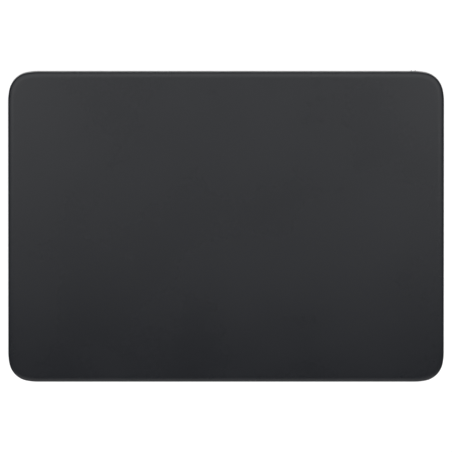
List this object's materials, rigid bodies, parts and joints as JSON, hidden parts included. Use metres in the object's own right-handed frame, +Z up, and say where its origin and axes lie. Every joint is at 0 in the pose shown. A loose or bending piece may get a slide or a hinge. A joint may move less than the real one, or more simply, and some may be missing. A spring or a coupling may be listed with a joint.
{
  "type": "trackpad",
  "caption": "Desktop trackpad: black glass touch plate on force-sensing flexures in a wedge-shaped aluminium base, with a rear charging socket and power slide switch.",
  "frame": {"origin": "on the desk plane, at the middle of the footprint", "axes": "+X to the right, +Y to the thick rear edge with the socket and switch, +Z up from the desk"},
  "size_m": [0.16, 0.1144, 0.0108],
  "materials": {
    "aluminium_body": "bead-blasted, clear anodised",
    "black_glass": "matt etched black glass, opaque",
    "cover_grey": "fine matt moulded panel",
    "bond_white": "soft adhesive tape",
    "foot_rubber": "matt silicone rubber",
    "clear_bond": "laminating adhesive",
    "board_green": "solder-masked circuit board",
    "chip_black": "moulded chip package",
    "stiffener_metal": "rolled sheet",
    "spring_steel": "rolled spring steel",
    "gauge_foil": "etched foil on film",
    "screw_steel": "nickel-plated",
    "gel": "soft silicone gel",
    "magnet_nickel": "nickel-plated magnet",
    "copper_winding": "enamelled copper wire",
    "core_steel": "soft iron",
    "sheet_steel": "folded sheet",
    "battery_pouch": "laminated pouch foil in a black sleeve",
    "tape_black": "double-sided tape",
    "ribbon_amber": "polyimide ribbon",
    "connector_white": "moulded connector",
    "can_tin": "tinned shield",
    "socket_steel": "drawn steel shell",
    "contact_gold": "gold plating",
    "socket_plastic": "moulded housing",
    "knob_silver": "matt metal",
    "switch_plastic": "moulded switch",
    "indicator_green": "coloured film"
  },
  "bodies": {
    "base": {"enclosure": "aluminium_body", "bottom_cover": "cover_grey", "cover_bond": "bond_white", "foot_front_left": "foot_rubber", "foot_front_right": "foot_rubber", "foot_rear_left": "foot_rubber", "foot_rear_right": "foot_rubber", "flexure_front_left": "spring_steel", "flexure_front_right": "spring_steel", "flexure_rear_left": "spring_steel", "flexure_rear_right": "spring_steel", "strain_gauges": "gauge_foil", "flexure_screws": "screw_steel", "haptic_coils": "copper_winding", "haptic_core": "core_steel", "haptic_bracket": "sheet_steel", "haptic_screws": "screw_steel", "battery_tape": "tape_black", "battery_cell": "battery_pouch", "battery_board": "board_green", "battery_lead": "ribbon_amber", "main_board": "board_green", "shield_can": "can_tin", "radio_chip": "chip_black", "processor_chip": "chip_black", "charge_chip": "chip_black", "board_connectors": "connector_white", "board_screws": "screw_steel", "sensor_flex": "ribbon_amber", "charge_socket": "socket_steel", "socket_contacts": "contact_gold", "socket_housing": "socket_plastic", "socket_bracket": "sheet_steel", "socket_screws": "screw_steel", "socket_flex": "ribbon_amber", "switch_body": "switch_plastic", "switch_indicator": "indicator_green", "switch_bracket": "sheet_steel", "switch_screw": "screw_steel", "switch_flex": "ribbon_amber"},
    "plate_support": {"flexure_tips": "sheet_steel", "gel_pads": "gel"},
    "touch_plate": {"touch_glass": "black_glass", "glass_bond": "clear_bond", "sensor_board": "board_green", "touch_controller": "chip_black", "gauge_amplifier": "chip_black", "stiffener": "stiffener_metal", "haptic_backplate": "core_steel", "haptic_magnets": "magnet_nickel"},
    "power_switch": {"switch_knob": "knob_silver", "switch_slider": "socket_plastic"}
  },
  "joints": [
    {"name": "plate_press", "type": "slide", "parent": "base", "child": "plate_support", "axis": [0, 0.0527, -0.9986], "range_m": [0, 0.0002], "stiffness_N_per_m": 12000, "springref_m": -0.00012, "deforming": ["flexure_front_left", "flexure_front_right", "flexure_rear_left", "flexure_rear_right", "sensor_flex"]},
    {"name": "haptic_shift", "type": "slide", "parent": "plate_support", "child": "touch_plate", "axis": [1, 0, 0], "range_m": [-0.0001, 0.0001], "stiffness_N_per_m": 20000, "deforming": ["gel_pads"]},
    {"name": "power_slide", "type": "slide", "parent": "base", "child": "power_switch", "axis": [1, 0, 0], "range_m": [-0.002, 0]}
  ]
}
